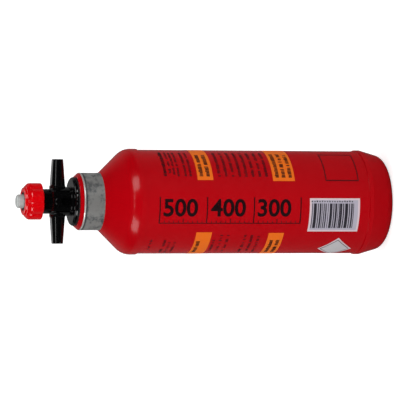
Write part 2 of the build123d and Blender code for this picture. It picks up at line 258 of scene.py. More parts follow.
def new_group(name, inputs):
    """A shader group with the given inputs that puts out a colour, a roughness and a normal."""
    group = bpy.data.node_groups.new(name, "ShaderNodeTree")
    for label, kind, value in inputs:
        socket = group.interface.new_socket(label, in_out="INPUT", socket_type=kind)
        socket.default_value = value
    for label, kind in (("Colour", COLOUR), ("Roughness", FLOAT), ("Normal", NORMAL)):
        group.interface.new_socket(label, in_out="OUTPUT", socket_type=kind)
    return group, group.nodes.new("NodeGroupInput").outputs, group.nodes.new("NodeGroupOutput").inputs


def maths_for(tree):
    """A short way to write sums inside a tree."""
    def maths(operation, *operands):
        node = add_node(tree, "ShaderNodeMath", operation=operation)
        for slot, value in enumerate(operands):
            if isinstance(value, (int, float)):
                node.inputs[slot].default_value = value
            else:
                tree.links.new(value, node.inputs[slot])
        return node.outputs[0]
    return maths


# %% The grain group
def moulded_grain():
    """Colour shift, roughness and bump of moulded plastic."""
    group, given, result = new_group("moulded_grain", [
        ("Colour", COLOUR, (0.5, 0.5, 0.5, 1.0)),
        ("Colour Shift", FLOAT, 0.1),
        ("Roughness", FLOAT, 0.3),
        ("Roughness Shift", FLOAT, 0.1),
        ("Grain Scale", FLOAT, 900.0),
        ("Grain Height", FLOAT, 0.00003),
    ])
    maths = maths_for(group)
    link = group.links.new
    place = add_node(group, "ShaderNodeTexCoord").outputs["Object"]
    cloud = add_node(group, "ShaderNodeTexNoise", Vector=place, Scale=45.0, Detail=4.0, Roughness=0.6)
    grain = add_node(group, "ShaderNodeTexNoise", Vector=place, Scale=given["Grain Scale"], Detail=3.0,
                     Roughness=0.6)
    centred = maths("SUBTRACT", cloud.outputs["Fac"], 0.5)
    value = maths("ADD", maths("MULTIPLY", centred, given["Colour Shift"]), 1.0)
    tint = add_node(group, "ShaderNodeHueSaturation", Color=given["Colour"], Value=value)
    link(tint.outputs["Color"], result["Colour"])
    link(maths("MULTIPLY_ADD", centred, given["Roughness Shift"], given["Roughness"]), result["Roughness"])
    height = maths("MULTIPLY", grain.outputs["Fac"], given["Grain Height"])
    bump = add_node(group, "ShaderNodeBump", Strength=0.6, Distance=1.0, Height=height)
    link(bump.outputs["Normal"], result["Normal"])
    return group


GRAIN = moulded_grain()
print("group", GRAIN.name, "with", len(GRAIN.nodes), "nodes")

# %% The scuffed metal group, with a painted shade line and a painted highlight line
PAINTED_SHADE = (0.05, 0.06, 0.07, 1.0)
PAINTED_HIGHLIGHT = (0.95, 0.93, 0.90, 1.0)


def turned_metal():
    """Fine rings round Z, blotchy smudges, a painted shade line and a painted highlight line, and the
    roughness of it all.
    """
    group, given, result = new_group("turned_metal", [
        ("Clean", COLOUR, (0.7, 0.7, 0.68, 1.0)),
        ("Smudge", COLOUR, (0.25, 0.25, 0.27, 1.0)),
        ("Smudge Amount", FLOAT, 0.5),
        ("Roughness", FLOAT, 0.3),
        ("Ring Height", FLOAT, 0.00002),
        ("Dark Line", FLOAT, -1.0),
        ("Bright Line", FLOAT, -1.0),
        ("Line Width", FLOAT, 0.0008),
    ])
    maths = maths_for(group)
    link = group.links.new
    place = add_node(group, "ShaderNodeTexCoord").outputs["Object"]
    squeeze = add_node(group, "ShaderNodeMapping", Vector=place, Scale=(4.0, 4.0, 260.0))
    rings = add_node(group, "ShaderNodeTexNoise", Vector=squeeze.outputs["Vector"], Scale=9.0, Detail=5.0,
                     Roughness=0.7)
    blotch = add_node(group, "ShaderNodeTexNoise", Vector=place, Scale=150.0, Detail=6.0, Roughness=0.65)
    edge = add_node(group, "ShaderNodeMapRange", interpolation_type="SMOOTHSTEP", From_Min=0.46,
                    From_Max=0.66, Value=blotch.outputs["Fac"])
    share = maths("MULTIPLY", edge.outputs["Result"], given["Smudge Amount"])
    mix = add_node(group, "ShaderNodeMix", data_type="RGBA", Factor=share, A=given["Clean"],
                   B=given["Smudge"])
    here = add_node(group, "ShaderNodeSeparateXYZ", Vector=place)
    colour = mix.outputs["Result"]
    # These two lines are painted light: a dark line of painted shade and a bright line of painted highlight.
    for label, shade in (("Dark Line", PAINTED_SHADE), ("Bright Line", PAINTED_HIGHLIGHT)):
        distance = maths("ABSOLUTE", maths("SUBTRACT", here.outputs["Z"], given[label]))
        near = add_node(group, "ShaderNodeMapRange", interpolation_type="SMOOTHSTEP", Value=distance,
                        From_Max=given["Line Width"], To_Min=0.85, To_Max=0.0)
        line = add_node(group, "ShaderNodeMix", data_type="RGBA", Factor=near.outputs["Result"], A=colour,
                        B=shade)
        colour = line.outputs["Result"]
    link(colour, result["Colour"])
    link(maths("MULTIPLY_ADD", share, 0.25, given["Roughness"]), result["Roughness"])
    height = maths("MULTIPLY", rings.outputs["Fac"], given["Ring Height"])
    bump = add_node(group, "ShaderNodeBump", Strength=0.7, Distance=1.0, Height=height)
    link(bump.outputs["Normal"], result["Normal"])
    return group


TURNED = turned_metal()
print("group", TURNED.name, "with", len(TURNED.nodes), "nodes")

# %% [markdown]
# ## Finishes
# Each finish is one Principled shader fed by a group. The bottle's polyethylene is a deep satin red, while
# the knob is a brighter, glossier red, so they need different gloss and not only different colour. Rubber
# and felt are rough, the valve is glossy black, and the stem is a pale satin nylon.


# %% A maker for each family of finish
def finish(name, group, values, **shader_values):
    """A material whose colour, roughness and normal come from a group with the given values."""
    material = bpy.data.materials.new(name)
    material.use_nodes = True
    tree = material.node_tree
    shader = tree.nodes["Principled BSDF"]
    effect = add_node(tree, "ShaderNodeGroup", node_tree=group)
    for label, value in values.items():
        effect.inputs[label].default_value = value
    for source, target in (("Colour", "Base Color"), ("Roughness", "Roughness"), ("Normal", "Normal")):
        tree.links.new(effect.outputs[source], shader.inputs[target])
    for label, value in shader_values.items():
        shader.inputs[label.replace("_", " ")].default_value = value
    return material


def plastic(name, colour, shift, roughness, spread, scale, height, **shader_values):
    """A moulded plastic or rubber finish: colour and its shift, roughness and its shift, grain."""
    values = {
        "Colour": (*colour, 1.0),
        "Colour Shift": shift,
        "Roughness": roughness,
        "Roughness Shift": spread,
        "Grain Scale": scale,
        "Grain Height": height,
    }
    return finish(name, GRAIN, values, **shader_values)


def metal(name, clean, smudge, amount, roughness, metallic, **lines):
    """A bare metal finish with turning lines."""
    values = {
        "Clean": (*clean, 1.0),
        "Smudge": (*smudge, 1.0),
        "Smudge Amount": amount,
        "Roughness": roughness,
    }
    values.update({label.replace("_", " "): value for label, value in lines.items()})
    return finish(name, TURNED, values, Metallic=metallic)


bottle_red = plastic("bottle_red", (0.50, 0.0, 0.004), 0.12, 0.20, 0.06, 700.0, 0.00002,
                     Specular_IOR_Level=0.27)
knob_red = plastic("knob_red", (0.74, 0.0, 0.003), 0.06, 0.13, 0.04, 900.0, 0.000003)
valve_black = plastic("valve_black", (0.002, 0.002, 0.0022), 0.3, 0.08, 0.04, 900.0, 0.000003)
stem_pale = plastic("stem_pale", (0.48, 0.50, 0.49), 0.05, 0.30, 0.08, 700.0, 0.00003)
rubber = plastic("rubber", (0.010, 0.010, 0.010), 0.3, 0.62, 0.2, 1400.0, 0.00006, Specular_IOR_Level=0.3)
felt = plastic("felt", (0.020, 0.006, 0.007), 0.5, 0.85, 0.1, 2600.0, 0.0002, Specular_IOR_Level=0.2)
label_film = plastic("label_film", (0.78, 0.62, 0.66), 0.05, 0.42, 0.1, 1500.0, 0.00002)
# The band's dark line is painted shade in its groove, and its bright line is a painted highlight on the bead.
BAND_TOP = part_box("neck_band")[1][2]
GROOVE_DROP = 0.00165
BEAD_DROP = 0.0004
band_metal = metal("band_metal", (0.47, 0.475, 0.46), (0.08, 0.09, 0.10), 0.85, 0.28, 0.6,
                   Dark_Line=BAND_TOP - GROOVE_DROP, Bright_Line=BAND_TOP - BEAD_DROP, Line_Width=0.0009)
steel = metal("steel", (0.60, 0.60, 0.60), (0.35, 0.34, 0.33), 0.4, 0.28, 1.0)
print("finishes:", sorted(material.name for material in bpy.data.materials))

# %% [markdown]
# ## Dressing the construction pieces
# Most pieces already have their true shape, so they only take their finish. The pieces inside the valve
# are hidden in this picture, but they show when the valve is taken out, so they get a finish as well.

# %% Give every carried-over piece its finish
finishes = {
    "bottle_shell": bottle_red,
    "neck_band": band_metal,
    "striped_label": label_film,
    "diamond_label": label_film,
    "neck_gasket": rubber,
    "valve_body": valve_black,
    "gland_bush": valve_black,
    "stem_o_ring": rubber,
    "gland_nut": valve_black,
    "spring_washer": steel,
    "return_spring": steel,
    "stem": stem_pale,
    "seal_disc": rubber,
    "seal_washer": steel,
    "lock_nut": steel,
    "knob_seal": felt,
    "knob": knob_red,
}
for name, material in finishes.items():
    mesh = nodes[name].data
    mesh.materials.clear()
    mesh.materials.append(material)
    print(name, len(mesh.polygons), "faces,", material.name)

# %% [markdown]
# ## Running a Geometry Nodes tree
# A tree runs as a modifier on a mesh. The evaluated result is copied to a plain mesh and the modifier is
# dropped, so that what rides on the bottle is ordinary geometry. The three trees below are used this way.

# %% Helpers that start and end a tree and keep its result
INTEGER, GEOMETRY, MATERIAL = "NodeSocketInt", "NodeSocketGeometry", "NodeSocketMaterial"


def new_tree(name, inputs):
    """An empty Geometry Nodes tree with a geometry input and output and the given named inputs."""
    tree = bpy.data.node_groups.new(name, "GeometryNodeTree")
    tree.is_modifier = True
    tree.interface.new_socket("Geometry", in_out="INPUT", socket_type=GEOMETRY)
    for label, kind, value in inputs:
        socket = tree.interface.new_socket(label, in_out="INPUT", socket_type=kind)
        if value is not None:
            socket.default_value = value
    tree.interface.new_socket("Geometry", in_out="OUTPUT", socket_type=GEOMETRY)
    return tree, tree.nodes.new("NodeGroupInput").outputs


def end_tree(tree, geometry, material):
    """Paints the geometry and hands it out."""
    paint = add_node(tree, "GeometryNodeSetMaterial", Geometry=geometry, Material=material)
    tree.links.new(paint.outputs[0], tree.nodes.new("NodeGroupOutput").inputs[0])
    return tree


def baked(name, base_mesh, tree, values):
    """Evaluates a Geometry Nodes tree on a mesh and returns the result as an object at the origin."""
    carrier = new_mesh_object(name + "_carrier", base_mesh)
    modifier = carrier.modifiers.new("nodes", "NODES")
    modifier.node_group = tree
    identifiers = {item.name: item.identifier for item in reversed(tree.interface.items_tree)}
    for label, value in values.items():
        modifier[identifiers[label]] = value
    bpy.context.view_layer.update()
    evaluated = carrier.evaluated_get(bpy.context.evaluated_depsgraph_get())
    mesh = bpy.data.meshes.new_from_object(evaluated)
    mesh.name = name
    bpy.data.objects.remove(carrier)
    return new_mesh_object(name, mesh)


# %% [markdown]
# ## The knob, a fluted lathe
# The real knob is moulded in one piece, and its eight flutes run softly into the wall, where the
# construction model has plain round cuts. Its shape follows a rule: one profile goes round the axis, and
# the wall dips where a flute is. So the profile is drawn as a row of points, a Geometry Nodes tree sweeps
# it round on a grid, and the radius dips eight times on the way. Where the profile comes in over the
# crown, the dips fade out.

# %% Draw the knob's profile with rounded corners
CORNER_STEPS = 6
LONGEST_RUN = 1.2
# Each corner: distance from the axis, height above the knob's foot, radius of the rounding.
knob_corners = [
    (8.2, 0.0, 0.0),
    (12.0, 0.0, 1.1),
    (12.0, 8.1, 2.4),
    (9.95, 10.3, 0.25),
    (9.15, 10.3, 0.2),
    (8.75, 11.8, 0.8),
    (6.05, 11.8, 0.2),
    (6.05, 10.9, 0.0),
    (4.45, 10.9, 0.0),
    (4.45, 8.0, 0.0),
    (6.0, 8.0, 0.0),
    (6.0, 8.8, 0.0),
    (8.2, 8.8, 0.0),
]


def rounded_outline(corners):
    """Points of a closed outline whose corners (across, up, radius) are replaced by short arcs."""
    points = []
    count = len(corners)
    for step in range(count):
        corner = Vector(corners[step][:2])
        radius = corners[step][2]
        before = (Vector(corners[step - 1][:2]) - corner).normalized()
        after = (Vector(corners[(step + 1) % count][:2]) - corner).normalized()
        if radius == 0.0:
            points.append(corner)
            continue
        half = before.angle(after) / 2
        start = corner + before * radius / math.tan(half)
        end = corner + after * radius / math.tan(half)
        centre = corner + (before + after).normalized() * radius / math.sin(half)
        for part in range(CORNER_STEPS + 1):
            spoke = start.lerp(end, part / CORNER_STEPS) - centre
            points.append(centre + spoke.normalized() * radius)
    return points


def densified(points, longest):
    """The same closed outline with long runs cut into shorter ones, and its first point repeated."""
    row = []
    for step, point in enumerate(points):
        following = points[(step + 1) % len(points)]
        cuts = max(1, math.ceil((following - point).length / longest))
        row += [point.lerp(following, cut / cuts) for cut in range(cuts)]
    return row + [points[0]]


knob_row = densified(rounded_outline(knob_corners), LONGEST_RUN)
print("profile points:", len(knob_row), "and the model's knob is", round(KNOB_HEIGHT, 2), "mm tall")


# %% The tree that sweeps and flutes the profile
def turned_place(tree, maths, radius, turn, height):
    """The place at a radius, a turn from the front towards +X, and a height."""
    return add_node(tree, "ShaderNodeCombineXYZ",
                    X=maths("MULTIPLY", radius, maths("SINE", turn)),
                    Y=maths("MULTIPLY", maths("MULTIPLY", radius, maths("COSINE", turn)), -1.0),
                    Z=height).outputs[0]


def lathe_tree():
    """Sweeps the base mesh's points round Z and dips the radius at each flute."""
    tree, given = new_tree("fluted_lathe", [
        ("Steps", INTEGER, 160),
        ("Profile Points", INTEGER, 2),
        ("Flutes", INTEGER, 8),
        ("Flute Depth", FLOAT, 0.0008),
        ("Flute Sharpness", FLOAT, 3.0),
        ("Fade From", FLOAT, 0.00995),
        ("Fade To", FLOAT, 0.0112),
        ("Paint", MATERIAL, None),
    ])
    maths = maths_for(tree)
    sheet = add_node(tree, "GeometryNodeMeshGrid", Size_X=1.0, Size_Y=1.0,
                     Vertices_X=maths("ADD", given["Steps"], 1.0), Vertices_Y=given["Profile Points"])

    # The sheet's X is the way round, and its Y picks the point of the profile.
    position = add_node(tree, "GeometryNodeInputPosition").outputs[0]
    here = add_node(tree, "ShaderNodeSeparateXYZ", Vector=position)
    turn = maths("MULTIPLY", maths("ADD", here.outputs["X"], 0.5), 2 * math.pi)
    last = maths("SUBTRACT", given["Profile Points"], 1.0)
    row = maths("ROUND", maths("MULTIPLY", maths("ADD", here.outputs["Y"], 0.5), last))
    pick = add_node(tree, "GeometryNodeSampleIndex", data_type="FLOAT_VECTOR", domain="POINT",
                    Geometry=given["Geometry"], Value=position, Index=row)
    profile = add_node(tree, "ShaderNodeSeparateXYZ", Vector=pick.outputs["Value"])

    # A wave that is one at a flute and near zero between two, faded out towards the crown.
    wave = maths("MULTIPLY_ADD", maths("COSINE", maths("MULTIPLY", turn, given["Flutes"])), 0.5, 0.5)
    dip = maths("MULTIPLY", maths("POWER", wave, given["Flute Sharpness"]), given["Flute Depth"])
    fade = add_node(tree, "ShaderNodeMapRange", interpolation_type="SMOOTHSTEP",
                    Value=profile.outputs["X"], From_Min=given["Fade From"], From_Max=given["Fade To"])
    radius = maths("SUBTRACT", profile.outputs["X"], maths("MULTIPLY", dip, fade.outputs["Result"]))

    bend = add_node(tree, "GeometryNodeSetPosition", Geometry=sheet.outputs["Mesh"],
                    Position=turned_place(tree, maths, radius, turn, profile.outputs["Z"]))
    seam = add_node(tree, "GeometryNodeMergeByDistance", Geometry=bend.outputs[0], Distance=0.000002)
    solid = add_node(tree, "GeometryNodeRealizeInstances", Geometry=seam.outputs[0])
    return end_tree(tree, solid.outputs[0], given["Paint"])


LATHE = lathe_tree()
print("tree", LATHE.name, "with", len(LATHE.nodes), "nodes")

# %% Run the lathe and put the knob in the construction piece's place
SHARPEST_BEND = 38.0


def mended(mesh, merge=None):
    """Merges close points of a closed mesh if asked to, and makes all its faces point outwards."""
    shape = bmesh.new()
    shape.from_mesh(mesh)
    if merge:
        bmesh.ops.remove_doubles(shape, verts=shape.verts, dist=merge)
    bmesh.ops.recalc_face_normals(shape, faces=shape.faces)
    shape.to_mesh(mesh)
    shape.free()
    mesh.shade_smooth()


knob_foot = knob_low[2] / MM
knob_profile = bpy.data.meshes.new("knob_profile")
knob_profile.from_pydata([(point.x * MM, 0.0, (point.y + knob_foot) * MM) for point in knob_row], [], [])
soft_knob = baked("fluted_knob", knob_profile, LATHE, {"Profile Points": len(knob_row), "Paint": knob_red})
mended(soft_knob.data)
soft_knob.data.set_sharp_from_angle(angle=math.radians(SHARPEST_BEND))
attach(soft_knob, "knob")
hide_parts("knob")
print("knob:", len(soft_knob.data.polygons), "faces,", [round(size / MM, 2) for size in soft_knob.dimensions])

# %% [markdown]
# ## The return spring
# The spring inside the valve shortens when the stem is pressed, and a rigid copy would run into the stem's
# collar. The coil is made here, from a spiral and a round wire, and rides with the valve. It keeps its
# length less the stem's travel, and its foot stays on the washer.


# %% A coil made from a spiral and a round wire
def coil_tree():
    """A spiral about Z with a round wire along it."""
    tree, given = new_tree("wire_coil", [
        ("Turns", FLOAT, 9.0),
        ("Coil Radius", FLOAT, 0.0043),
        ("Coil Height", FLOAT, 0.0275),
        ("Wire Radius", FLOAT, 0.0004),
        ("Foot", FLOAT, 0.19),
        ("Paint", MATERIAL, None),
    ])
    spiral = add_node(tree, "GeometryNodeCurveSpiral", Resolution=28, Rotations=given["Turns"],
                      Start_Radius=given["Coil Radius"], End_Radius=given["Coil Radius"],
                      Height=given["Coil Height"])
    wire = add_node(tree, "GeometryNodeCurvePrimitiveCircle", Resolution=10, Radius=given["Wire Radius"])
    skin = add_node(tree, "GeometryNodeCurveToMesh", Curve=spiral.outputs["Curve"],
                    Profile_Curve=wire.outputs["Curve"], Fill_Caps=True)
    lift = add_node(tree, "ShaderNodeCombineXYZ", Z=given["Foot"])
    place = add_node(tree, "GeometryNodeTransform", Geometry=skin.outputs["Mesh"],
                     Translation=lift.outputs[0])
    solid = add_node(tree, "GeometryNodeRealizeInstances", Geometry=place.outputs[0])
    return end_tree(tree, solid.outputs[0], given["Paint"])


spring_low, spring_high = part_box("return_spring")
WIRE_R = 0.4
CLOSE_POINTS = 0.000001
spring_length = (spring_high[2] - spring_low[2]) / MM
coil = baked("coil_spring", bpy.data.meshes.new("coil_base"), coil_tree(), {
    "Coil Radius": spring_high[0] - WIRE_R * MM,
    "Coil Height": (spring_length - 2 * WIRE_R) * MM,
    "Wire Radius": WIRE_R * MM,
    "Foot": spring_low[2] + WIRE_R * MM,
    "Paint": steel,
})
mended(coil.data, CLOSE_POINTS)
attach(coil, "valve")
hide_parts("return_spring")
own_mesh(coil)

# %% [markdown]
# ## Inks
# Screen-printed ink lies on top of the plastic as a thin satin film. Small print looks dark red from a
# distance, because the red shows between its strokes, so its dashes take an ink that is dark red itself.


# %% Mix the inks
def film(name, colour, shift, roughness=0.40, gloss=0.3):
    """A printed film; all inks share one fine grain."""
    return plastic(name, colour, shift, roughness, 0.1, 1200.0, 0.00002, Specular_IOR_Level=gloss)


LABEL_GLOSS = 0.5
ink_black = film("ink_black", (0.016, 0.002, 0.004), 0.2)
ink_small = film("ink_small", (0.100, 0.001, 0.004), 0.2, 0.38)
ink_brown = film("ink_brown", (0.055, 0.012, 0.003), 0.2)
ink_orange = film("ink_orange", (0.95, 0.172, 0.001), 0.08, 0.42)
ink_bars = film("ink_bars", (0.028, 0.024, 0.036), 0.3, 0.45, LABEL_GLOSS)
ink_grey = film("ink_grey", (0.50, 0.47, 0.56), 0.05, 0.45, LABEL_GLOSS)
ink_pale = film("ink_pale", (0.62, 0.60, 0.63), 0.05, 0.45, LABEL_GLOSS)
print("inks:", [material.name for material in bpy.data.materials if material.name.startswith("ink_")])

# %% [markdown]
# ## Rows of printed marks, made by one tree
# A block of small print, the bars of a label and the ticks of a fill scale are the same thing to a
# modeller: rows of small flat marks, wrapped round the wall. One tree makes them all. It lays out a grid
# of points, puts a thin bar on each, varies the bars with a fixed seed, and bends the flat sheet round the
# body. Words are left out on purpose: plain dashes hold their place.

# %% Build the tree of wrapped marks
WIDTH_SEED, HEIGHT_SEED = 7, 13


def marks_tree():
    """Rows of bars on a flat sheet, then bent round a cylinder about Z."""
    tree, given = new_tree("wrapped_marks", [
        ("Rows", INTEGER, 1),
        ("Row Pitch", FLOAT, 0.004),
        ("Columns", INTEGER, 1),
        ("Column Pitch", FLOAT, 0.02),
        ("Mark Width", FLOAT, 0.01),
        ("Mark Height", FLOAT, 0.001),
        ("Least Width", FLOAT, 1.0),
        ("Least Height", FLOAT, 1.0),
        ("Missing", FLOAT, 0.0),
        ("Cuts", INTEGER, 9),
        ("Radius", FLOAT, 0.0335),
        ("Depth", FLOAT, INK_DEPTH * MM),
        ("Angle", FLOAT, 0.0),
        ("Height", FLOAT, 0.1),
        ("Seed", INTEGER, 1),
        ("Ink", MATERIAL, None),
    ])
    maths = maths_for(tree)

    # Points on a flat sheet: column by column along X, row by row along Y.
    points = add_node(tree, "GeometryNodePoints", Count=maths("MULTIPLY", given["Rows"], given["Columns"]))
    index = add_node(tree, "GeometryNodeInputIndex").outputs[0]
    row = maths("FLOOR", maths("DIVIDE", maths("ADD", index, 0.001), given["Columns"]))
    column = maths("SUBTRACT", index, maths("MULTIPLY", row, given["Columns"]))
    spot = add_node(tree, "ShaderNodeCombineXYZ", X=maths("MULTIPLY", column, given["Column Pitch"]),
                    Y=maths("MULTIPLY", row, given["Row Pitch"]))
    spread = add_node(tree, "GeometryNodeSetPosition", Geometry=points.outputs[0], Position=spot.outputs[0])

    # Some marks are dropped, so that rows look like words.
    chance = add_node(tree, "FunctionNodeRandomValue", data_type="BOOLEAN", Probability=given["Missing"],
                      Seed=given["Seed"])
    thin = add_node(tree, "GeometryNodeDeleteGeometry", domain="POINT", Geometry=spread.outputs[0],
                    Selection=chance.outputs[3])

    # One bar, cut along its width so that it can bend, with its corner at the origin.
    bar = add_node(tree, "GeometryNodeMeshCube", Vertices_X=given["Cuts"])
    shift = add_node(tree, "GeometryNodeTransform", Geometry=bar.outputs["Mesh"], Translation=(0.5, 0.5, 0.5))

    def scattered(full, least, offset):
        """The full size times a random share between the least one and one."""
        dice = add_node(tree, "FunctionNodeRandomValue", data_type="FLOAT",
                        Seed=maths("ADD", given["Seed"], offset))
        dice.inputs[3].default_value = 1.0
        tree.links.new(given[least], dice.inputs[2])
        return maths("MULTIPLY", given[full], dice.outputs[1])

    size = add_node(tree, "ShaderNodeCombineXYZ", X=scattered("Mark Width", "Least Width", WIDTH_SEED),
                    Y=scattered("Mark Height", "Least Height", HEIGHT_SEED), Z=given["Depth"])
    place = add_node(tree, "GeometryNodeInstanceOnPoints", Points=thin.outputs[0],
                     Instance=shift.outputs[0], Scale=size.outputs[0])
    solid = add_node(tree, "GeometryNodeRealizeInstances", Geometry=place.outputs[0])

    # Bend the sheet: X becomes the way round the body, Y the height, Z the lift off the wall.
    position = add_node(tree, "GeometryNodeInputPosition").outputs[0]
    here = add_node(tree, "ShaderNodeSeparateXYZ", Vector=position)
    around = maths("ADD", maths("DIVIDE", here.outputs["X"], given["Radius"]), given["Angle"])
    reach = maths("ADD", given["Radius"], here.outputs["Z"])
    height = maths("ADD", here.outputs["Y"], given["Height"])
    bend = add_node(tree, "GeometryNodeSetPosition", Geometry=solid.outputs[0],
                    Position=turned_place(tree, maths, reach, around, height))
    return end_tree(tree, bend.outputs[0], given["Ink"])


MARKS = marks_tree()
print("tree", MARKS.name, "with", len(MARKS.nodes), "nodes")


# %% One call for a block of marks
def printed(name, ink, angle, height, lift=INK_LIFT, **values):
    """Rows of marks on the body, placed by angle from the front and height in mm; sizes in mm too."""
    sizes = {"Row Pitch", "Column Pitch", "Mark Width", "Mark Height"}
    inputs = {"Ink": ink, "Angle": math.radians(angle), "Height": height * MM, "Radius": (BODY_R + lift) * MM}
    for key, value in values.items():
        label = key.replace("_", " ")
        inputs[label] = value * MM if label in sizes else value
    piece = baked(name, bpy.data.meshes.new(name), MARKS, inputs)
    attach(piece, "bottle")
    print(name, len(piece.data.polygons), "faces")


# %% [markdown]
# ## Fields and outlines
# A printed field or a thin outline has a plain four-cornered shape, so it needs no tree. Each is a closed
# slab, cut finely enough to follow the round wall, and an outline is four narrow slabs round a middle.

# %% Slabs that follow the wall
WIDEST_FACET = 2.4


def add_slab(shape, corners, lift):
    """A thin closed slab between four corners, each an arc length from the front and a height in mm."""
    first, second, third, fourth = [Vector(corner) for corner in corners]
    longest = max(abs(one.x - other.x) for one, other in ((first, second), (second, third), (third, fourth)))
    steps = max(2, math.ceil(math.degrees(longest / BODY_R) / WIDEST_FACET))
    grid = {}
    for level in (0, 1):
        for i in range(steps + 1):
            low = first.lerp(second, i / steps)
            high = fourth.lerp(third, i / steps)
            for j in range(steps + 1):
                spot = low.lerp(high, j / steps)
                point = on_wall(math.degrees(spot.x / BODY_R), spot.y, lift + level * INK_DEPTH)
                grid[level, i, j] = shape.verts.new(point)
    for a in range(steps):
        for b in range(steps):
            square = ((a, b), (a + 1, b), (a + 1, b + 1), (a, b + 1))
            for level in (0, 1):
                shape.faces.new([grid[level, i, j] for i, j in square])
        rim = ((0, a), (0, a + 1), (1, a + 1), (1, a))
        for edge in (0, steps):
            shape.faces.new([grid[level, i, edge] for level, i in rim])
            shape.faces.new([grid[level, edge, i] for level, i in rim])


def wrapped_slabs(name, ink, slabs, lift=INK_LIFT):
    """One piece that holds all the given slabs."""
    shape = bmesh.new()
    for corners in slabs:
        add_slab(shape, corners, lift)
    bmesh.ops.recalc_face_normals(shape, faces=shape.faces)
    mesh = bpy.data.meshes.new(name)
    shape.to_mesh(mesh)
    shape.free()
    mesh.materials.append(ink)
    piece = new_mesh_object(name, mesh)
    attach(piece, "bottle")
    print(name, len(mesh.polygons), "faces")


def upright(angle_from, angle_to, low, high):
    """The corners of an upright field between two angles and two heights."""
    start = math.radians(angle_from) * BODY_R
    end = math.radians(angle_to) * BODY_R
    return [(start, low), (end, low), (end, high), (start, high)]


def outline_of(corners, width):
    """Four narrow slabs that run inside the given corners."""
    middle = sum((Vector(corner) for corner in corners), Vector((0.0, 0.0))) / 4
    side_distance = min((Vector(corners[step]).lerp(Vector(corners[step - 1]), 0.5) - middle).length
                        for step in range(4))
    share = 1 - width / side_distance
    inner = [middle + (Vector(corner) - middle) * share for corner in corners]
    return [[corners[step - 1], corners[step], inner[step], inner[step - 1]] for step in range(4)]


# %% [markdown]
# ## The two paper labels
# The oblong label has a pale rim, a greyer field and plain bars of mixed thickness. The diamond label is
# blank, with a thin line inside its edge.

# %% Dress the oblong label
RIM = 1.2
BARS_IN, BARS_FOOT = 4.6, 29.3
WIDE_BARS_FOOT = 30.2
DASHES_IN, DASHES_FOOT = 4.2, 30.0
LABEL_PRINT_LIFT = LABEL_INK_LIFT + 2 * INK_DEPTH
label_angle = math.degrees(math.asin(label_low[0] / MM / (BODY_R + LABEL_TOP)))
label_end = math.degrees(math.asin(label_high[0] / MM / (BODY_R + LABEL_TOP)))
rim_angle = math.degrees(RIM / BODY_R)
label_field = upright(label_angle + rim_angle, label_end - rim_angle,
                      label_low[2] / MM + RIM, label_high[2] / MM - RIM)
wrapped_slabs("label_field", ink_grey, [label_field], LABEL_INK_LIFT)
printed("label_bars", ink_bars, label_angle + BARS_IN, BARS_FOOT, LABEL_PRINT_LIFT, Rows=22,
        Row_Pitch=1.33, Mark_Width=16.6, Mark_Height=0.75, Least_Height=0.5, Cuts=13, Seed=11)
printed("label_wide_bars", ink_bars, label_angle + BARS_IN, WIDE_BARS_FOOT, LABEL_PRINT_LIFT, Rows=8,
        Row_Pitch=3.55, Mark_Width=16.6, Mark_Height=1.5, Least_Height=0.45, Cuts=13, Seed=17)
printed("label_dashes", ink_bars, label_end - DASHES_IN, DASHES_FOOT, LABEL_PRINT_LIFT, Rows=17,
        Row_Pitch=1.7, Mark_Width=1.1, Mark_Height=1.1, Least_Width=0.6, Least_Height=0.6, Cuts=2, Seed=16)
print("label from", round(label_angle, 1), "to", round(label_end, 1), "degrees")

# %% Dress the diamond label
DIAMOND_ANGLE = -63.3
DIAMOND_RIM = 2.2
LINE_IN, LINE_WIDTH = 1.4, 0.45
diamond_height = (diamond_low[2] + diamond_high[2]) / 2 / MM
diamond_middle = Vector((math.radians(DIAMOND_ANGLE) * BODY_R, diamond_height))
diamond_half = (diamond_high[2] - diamond_low[2]) / 2 / MM


def diamond_corners(half):
    """Corners of a diamond of the given half height about the label's middle."""
    return [diamond_middle + Vector(step) * half for step in ((0, -1), (1, 0), (0, 1), (-1, 0))]


diamond_line = outline_of(diamond_corners(diamond_half - LINE_IN), LINE_WIDTH)
wrapped_slabs("diamond_field", ink_pale, [diamond_corners(diamond_half - DIAMOND_RIM)], LABEL_INK_LIFT)
wrapped_slabs("diamond_line", ink_bars, diamond_line, LABEL_INK_LIFT)
print("diamond half", round(diamond_half, 2), "mm")

# %% [markdown]
# ## Orange fields and small print
# Four orange fields hold a few short rows of small dark print. Beside them are blocks of still smaller
# print in dark ink straight on the red. All of it becomes rows of fine dashes.

# %% Orange fields
# Each field: the two angles that it lies between, and the two heights.
orange_fields = {
    "a": (24.5, 100.0, 123.0, 133.4),
    "b": (23.7, 100.0, 68.4, 83.1),
    "c": (-111.0, -35.6, 122.9, 133.2),
    "d": (-111.0, -36.4, 74.6, 84.8),
}
for tag, edges in orange_fields.items():
    wrapped_slabs("orange_field_" + tag, ink_orange, [upright(*edges)])

# %% Rows of dashes
dash = {"Column_Pitch": 1.15, "Mark_Width": 1.0, "Least_Width": 0.7, "Least_Height": 0.7, "Cuts": 2}
FIELD_INK_LIFT = INK_LIFT + 2 * INK_DEPTH
